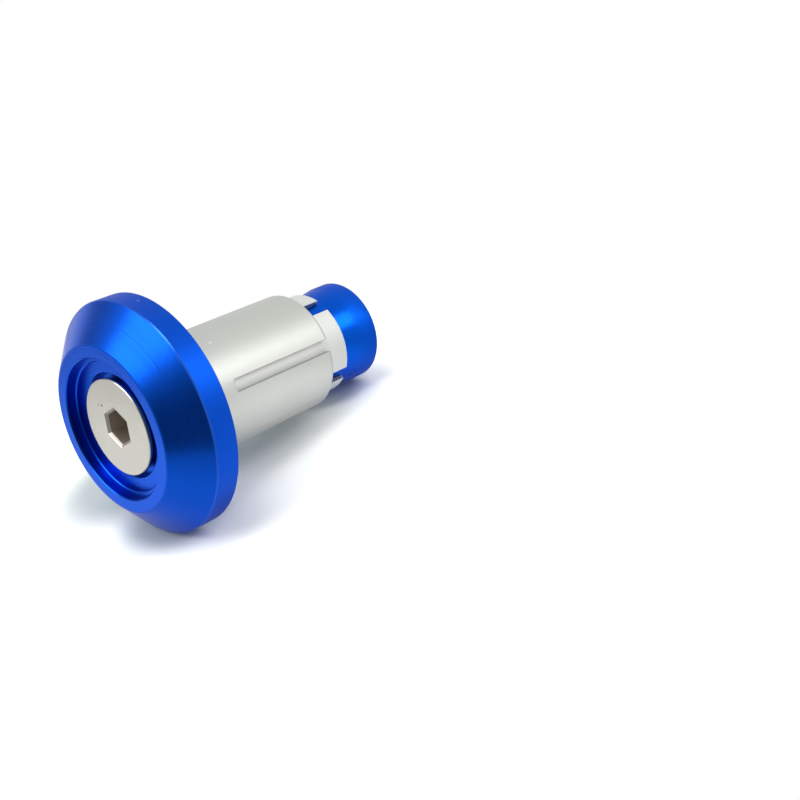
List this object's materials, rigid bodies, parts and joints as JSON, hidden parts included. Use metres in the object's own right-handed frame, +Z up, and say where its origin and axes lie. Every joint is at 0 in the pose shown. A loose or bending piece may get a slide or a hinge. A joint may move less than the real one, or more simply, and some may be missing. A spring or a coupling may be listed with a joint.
{
  "type": "bar end weight",
  "caption": "Round cone-faced handlebar end weight: a socket bolt sunk in its head draws a tapered wedge into a split collet inside a slotted sleeve.",
  "frame": {"origin": "on the axis, in the plane of the head's shoulder, the face that the end of the handlebar meets", "axes": "+X along the axis from the head into the bar, +Z up with the bar level, as it is fitted"},
  "size_m": [0.0392, 0.03, 0.03],
  "materials": {
    "blue_anodised": "fine turned, blue anodised",
    "bolt_steel": "nickel-plated, softly polished",
    "satin_silver": "fine blasted satin"
  },
  "bodies": {
    "plug": {"head": "blue_anodised", "outer_sleeve": "satin_silver", "split_collet": "satin_silver"},
    "bolt": {"clamp_bolt": "bolt_steel"},
    "wedge": {"wedge_nut": "blue_anodised"}
  },
  "joints": [
    {"name": "bolt_turn", "type": "hinge", "parent": "plug", "child": "bolt", "pos_m": [0, 0, 0], "axis": [1, 0, 0], "range_deg": [-1440, 0]},
    {"name": "wedge_draw", "type": "slide", "parent": "plug", "child": "wedge", "axis": [1, 0, 0], "range_m": [0, 0.004]}
  ],
  "couplings": [
    {"joint": "wedge_draw", "follows": "bolt_turn", "m_per_rad": -0.00015915}
  ]
}
